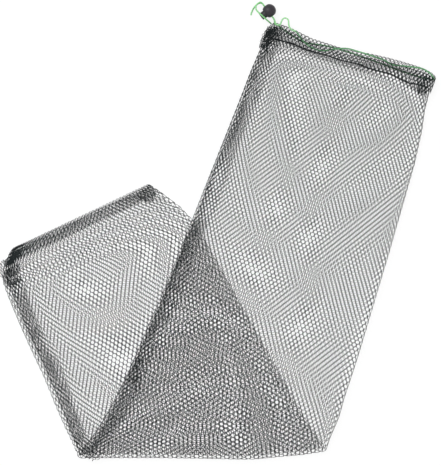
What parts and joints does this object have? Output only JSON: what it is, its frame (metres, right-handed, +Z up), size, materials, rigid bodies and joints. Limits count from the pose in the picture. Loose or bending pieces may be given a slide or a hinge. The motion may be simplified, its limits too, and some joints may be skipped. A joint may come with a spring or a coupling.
{
  "type": "drawstring mesh net bag",
  "caption": "Long tubular bag of dark knotless netting, folded once on itself, with a hemmed drawstring mouth, a sewn closed end and a spring ball cord lock.",
  "frame": {"origin": "on the surface that the bag lies on, under the middle of the netting's plan box, without the free cord ends and the cord lock", "axes": "+X along the fold, towards the mouth's right corner; +Y from the fold to the mouth; +Z up from the surface"},
  "size_m": [0.5744, 0.5937, 0.0177],
  "materials": {
    "netting": "dark green-black twisted filament, matt",
    "seam_netting": "the same netting in two layers, sewn",
    "hem_netting": "the same netting turned over and sewn",
    "drawstring": "light green braided cord",
    "lock_plastic": "black moulded plastic, fine satin",
    "button_plastic": "black moulded plastic, satin",
    "spring_steel": "drawn spring wire"
  },
  "bodies": {
    "net_bag": {"net_front_mouth": "netting", "net_back_mouth": "netting", "net_front_fold": "netting", "net_back_fold": "netting", "net_front_end": "netting", "net_back_end": "netting", "side_seam_mouth": "seam_netting", "side_seam_end": "seam_netting", "mouth_hem_front": "hem_netting", "mouth_hem_back": "hem_netting", "closed_end_band": "hem_netting", "drawstring": "drawstring", "cord_end_a": "drawstring", "cord_end_b": "drawstring"},
    "cord_lock": {"lock_barrel": "lock_plastic", "lock_spring": "spring_steel"},
    "lock_button": {"lock_button": "button_plastic"}
  },
  "joints": [
    {"name": "lock_slide", "type": "slide", "parent": "net_bag", "child": "cord_lock", "axis": [-0.5736, 0.8192, 0], "range_m": [-0.0025, 0.003]},
    {"name": "button_press", "type": "slide", "parent": "cord_lock", "child": "lock_button", "axis": [0.8192, 0.5736, 0], "range_m": [0, 0.003], "stiffness_N_per_m": 1200, "springref_m": -0.002, "deforming": ["lock_spring"]}
  ]
}
